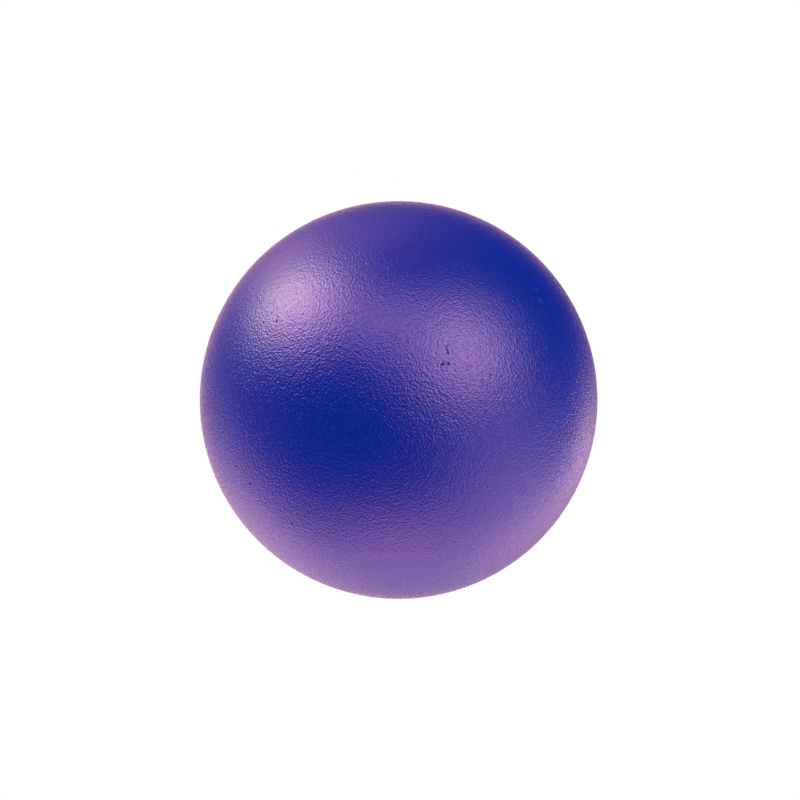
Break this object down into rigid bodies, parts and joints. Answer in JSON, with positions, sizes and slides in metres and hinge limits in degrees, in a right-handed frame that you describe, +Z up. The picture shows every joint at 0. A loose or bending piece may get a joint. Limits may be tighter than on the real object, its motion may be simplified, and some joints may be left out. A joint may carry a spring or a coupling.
{
  "type": "coated foam play ball",
  "caption": "Round play ball of soft foam inside thin sprayed coats: a sealing coat, a tough elastic skin and a satin violet-blue colour coat. For throwing, catching, rolling and kicking.",
  "frame": {"origin": "centre of the ball", "axes": "+Z up, away from the ground that the ball rests on; the ball is the same about every axis through its centre"},
  "size_m": [0.16, 0.16, 0.16],
  "materials": {
    "soft_foam": "matt open-cell polyurethane foam, pale cream",
    "sealing_coat": "thin milky coat soaked into the foam's surface",
    "elastic_skin": "dull violet satin elastomer, coloured through",
    "violet_coat": "satin, with a fine random orange-peel grain"
  },
  "bodies": {
    "root": {"foam_core": "soft_foam", "sealing_coat": "sealing_coat", "elastic_skin": "elastic_skin", "colour_coat": "violet_coat"}
  },
  "joints": []
}
